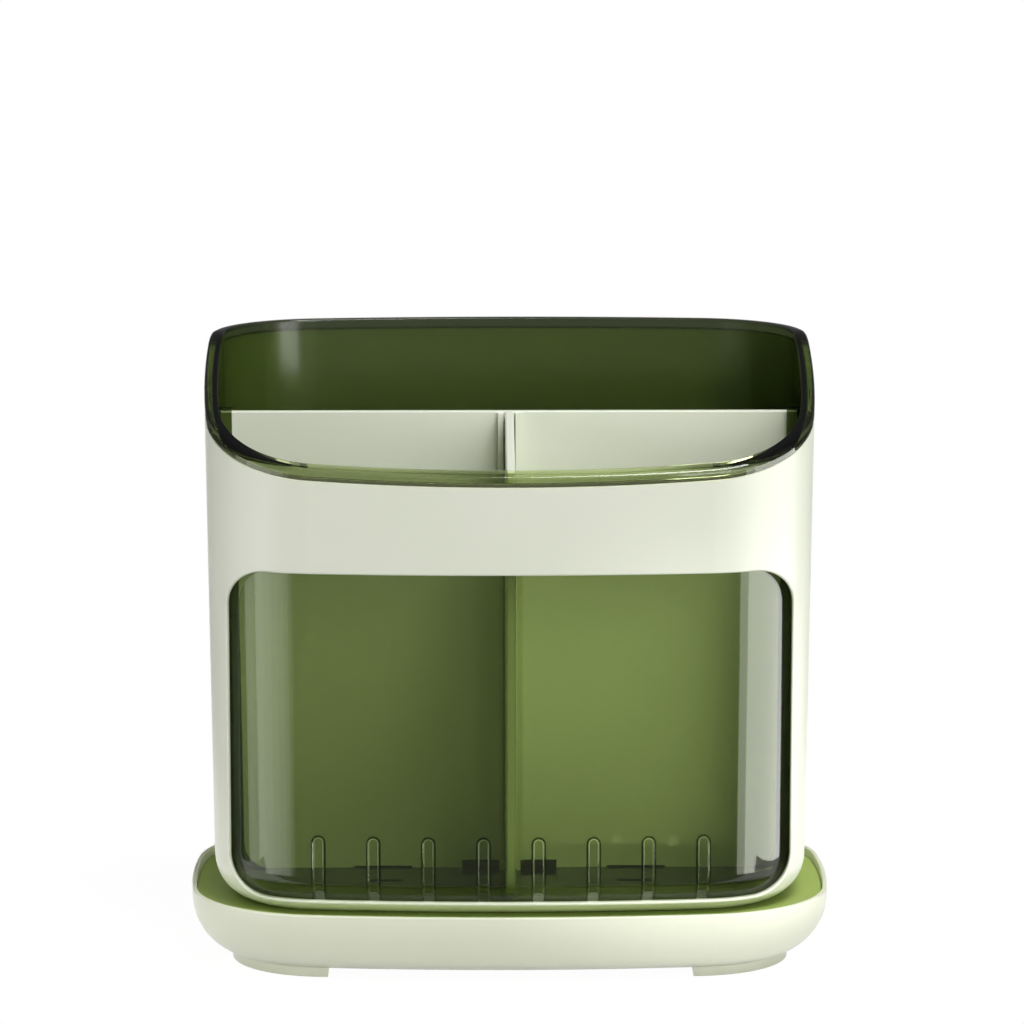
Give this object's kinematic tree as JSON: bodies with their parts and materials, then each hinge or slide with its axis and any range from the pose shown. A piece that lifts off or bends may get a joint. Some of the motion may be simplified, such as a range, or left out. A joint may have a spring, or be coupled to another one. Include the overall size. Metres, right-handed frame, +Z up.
{
  "type": "utensil holder",
  "caption": "Free-standing countertop utensil holder: clear green bin with lift-out dividers in a pale windowed shell, standing on a drip tray with a catch basin.",
  "frame": {"origin": "centre of the footprint, on the surface that the holder stands on", "axes": "+X to the right along the front, +Y from the front to the taller back, +Z up"},
  "size_m": [0.183, 0.119, 0.1752],
  "materials": {
    "pale_plastic": "smooth, softly glossy",
    "green_plastic": "smooth, glossy",
    "clear_green_plastic": "smooth, clear and glossy"
  },
  "bodies": {
    "tray": {"drip_tray": "pale_plastic"},
    "insert": {"tray_insert": "green_plastic"},
    "shell": {"outer_shell": "pale_plastic"},
    "bin": {"inner_bin": "clear_green_plastic"},
    "cross_panel": {"cross_divider": "pale_plastic"},
    "centre_fin": {"centre_divider": "pale_plastic"}
  },
  "joints": [
    {"name": "insert_lift", "type": "slide", "parent": "tray", "child": "insert", "axis": [0, 0, 1], "range_m": [0, 0.02]},
    {"name": "shell_lift", "type": "slide", "parent": "insert", "child": "shell", "axis": [0, 0, 1], "range_m": [0, 0.03]},
    {"name": "bin_lift", "type": "slide", "parent": "shell", "child": "bin", "axis": [0, 0, 1], "range_m": [0, 0.155]},
    {"name": "cross_divider_lift", "type": "slide", "parent": "bin", "child": "cross_panel", "axis": [0, 0, 1], "range_m": [0, 0.15]},
    {"name": "centre_divider_lift", "type": "slide", "parent": "bin", "child": "centre_fin", "axis": [0, 0, 1], "range_m": [0, 0.15]}
  ]
}
